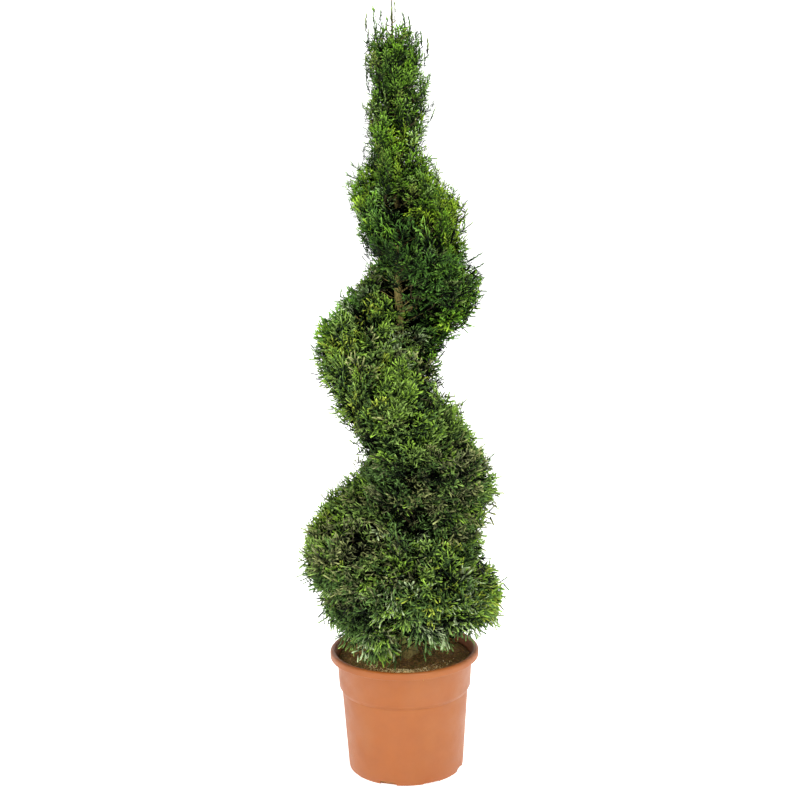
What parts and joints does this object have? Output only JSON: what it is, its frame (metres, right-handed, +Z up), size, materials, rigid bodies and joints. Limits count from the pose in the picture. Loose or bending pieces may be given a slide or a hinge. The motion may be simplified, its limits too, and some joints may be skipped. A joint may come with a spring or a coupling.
{
  "type": "potted spiral topiary conifer",
  "caption": "Evergreen conifer clipped into a rising left-hand spiral round a single trunk, standing in a filled round nursery pot with a rolled lip.",
  "frame": {"origin": "middle of the pot's flat underside, on the ground", "axes": "+Z up along the trunk; +X to the right and -Y towards the viewer as the plant is seen from its front"},
  "size_m": [0.3916, 0.3803, 1.435],
  "materials": {
    "pot": "matte terracotta-coloured moulded plastic, slightly paler where it is handled",
    "soil": "rough moist peat compost with moss and dry needles on top",
    "bark": "rough, shallow-furrowed red-brown bark",
    "foliage": "flat fans of scale leaves, mid to dark green",
    "foliage_top": "flat fans of scale leaves, lighter yellow-green young growth"
  },
  "bodies": {
    "root": {"pot": "pot", "soil": "soil", "trunk": "bark", "bough_1_back": "bark", "foliage_1_back": "foliage", "bough_1_right": "bark", "foliage_1_right": "foliage", "bough_1_front": "bark", "foliage_1_front": "foliage", "bough_1_left": "bark", "foliage_1_left": "foliage", "bough_2_back": "bark", "foliage_2_back": "foliage", "bough_2_right": "bark", "foliage_2_right": "foliage", "bough_2_front": "bark", "foliage_2_front": "foliage", "bough_2_left": "bark", "foliage_2_left": "foliage", "bough_3_back": "bark", "foliage_3_back": "foliage", "bough_3_right": "bark", "foliage_3_right": "foliage", "bough_3_front": "bark", "foliage_3_front": "foliage", "bough_3_left": "bark", "foliage_3_left": "foliage_top", "bough_4_back": "bark", "foliage_4_back": "foliage_top", "bough_4_right": "bark", "foliage_4_right": "foliage_top", "foliage_4_front_left": "foliage_top", "foliage_5_back_right": "foliage_top", "foliage_top_front_left": "foliage_top", "foliage_top_back_right": "foliage_top"}
  },
  "joints": []
}
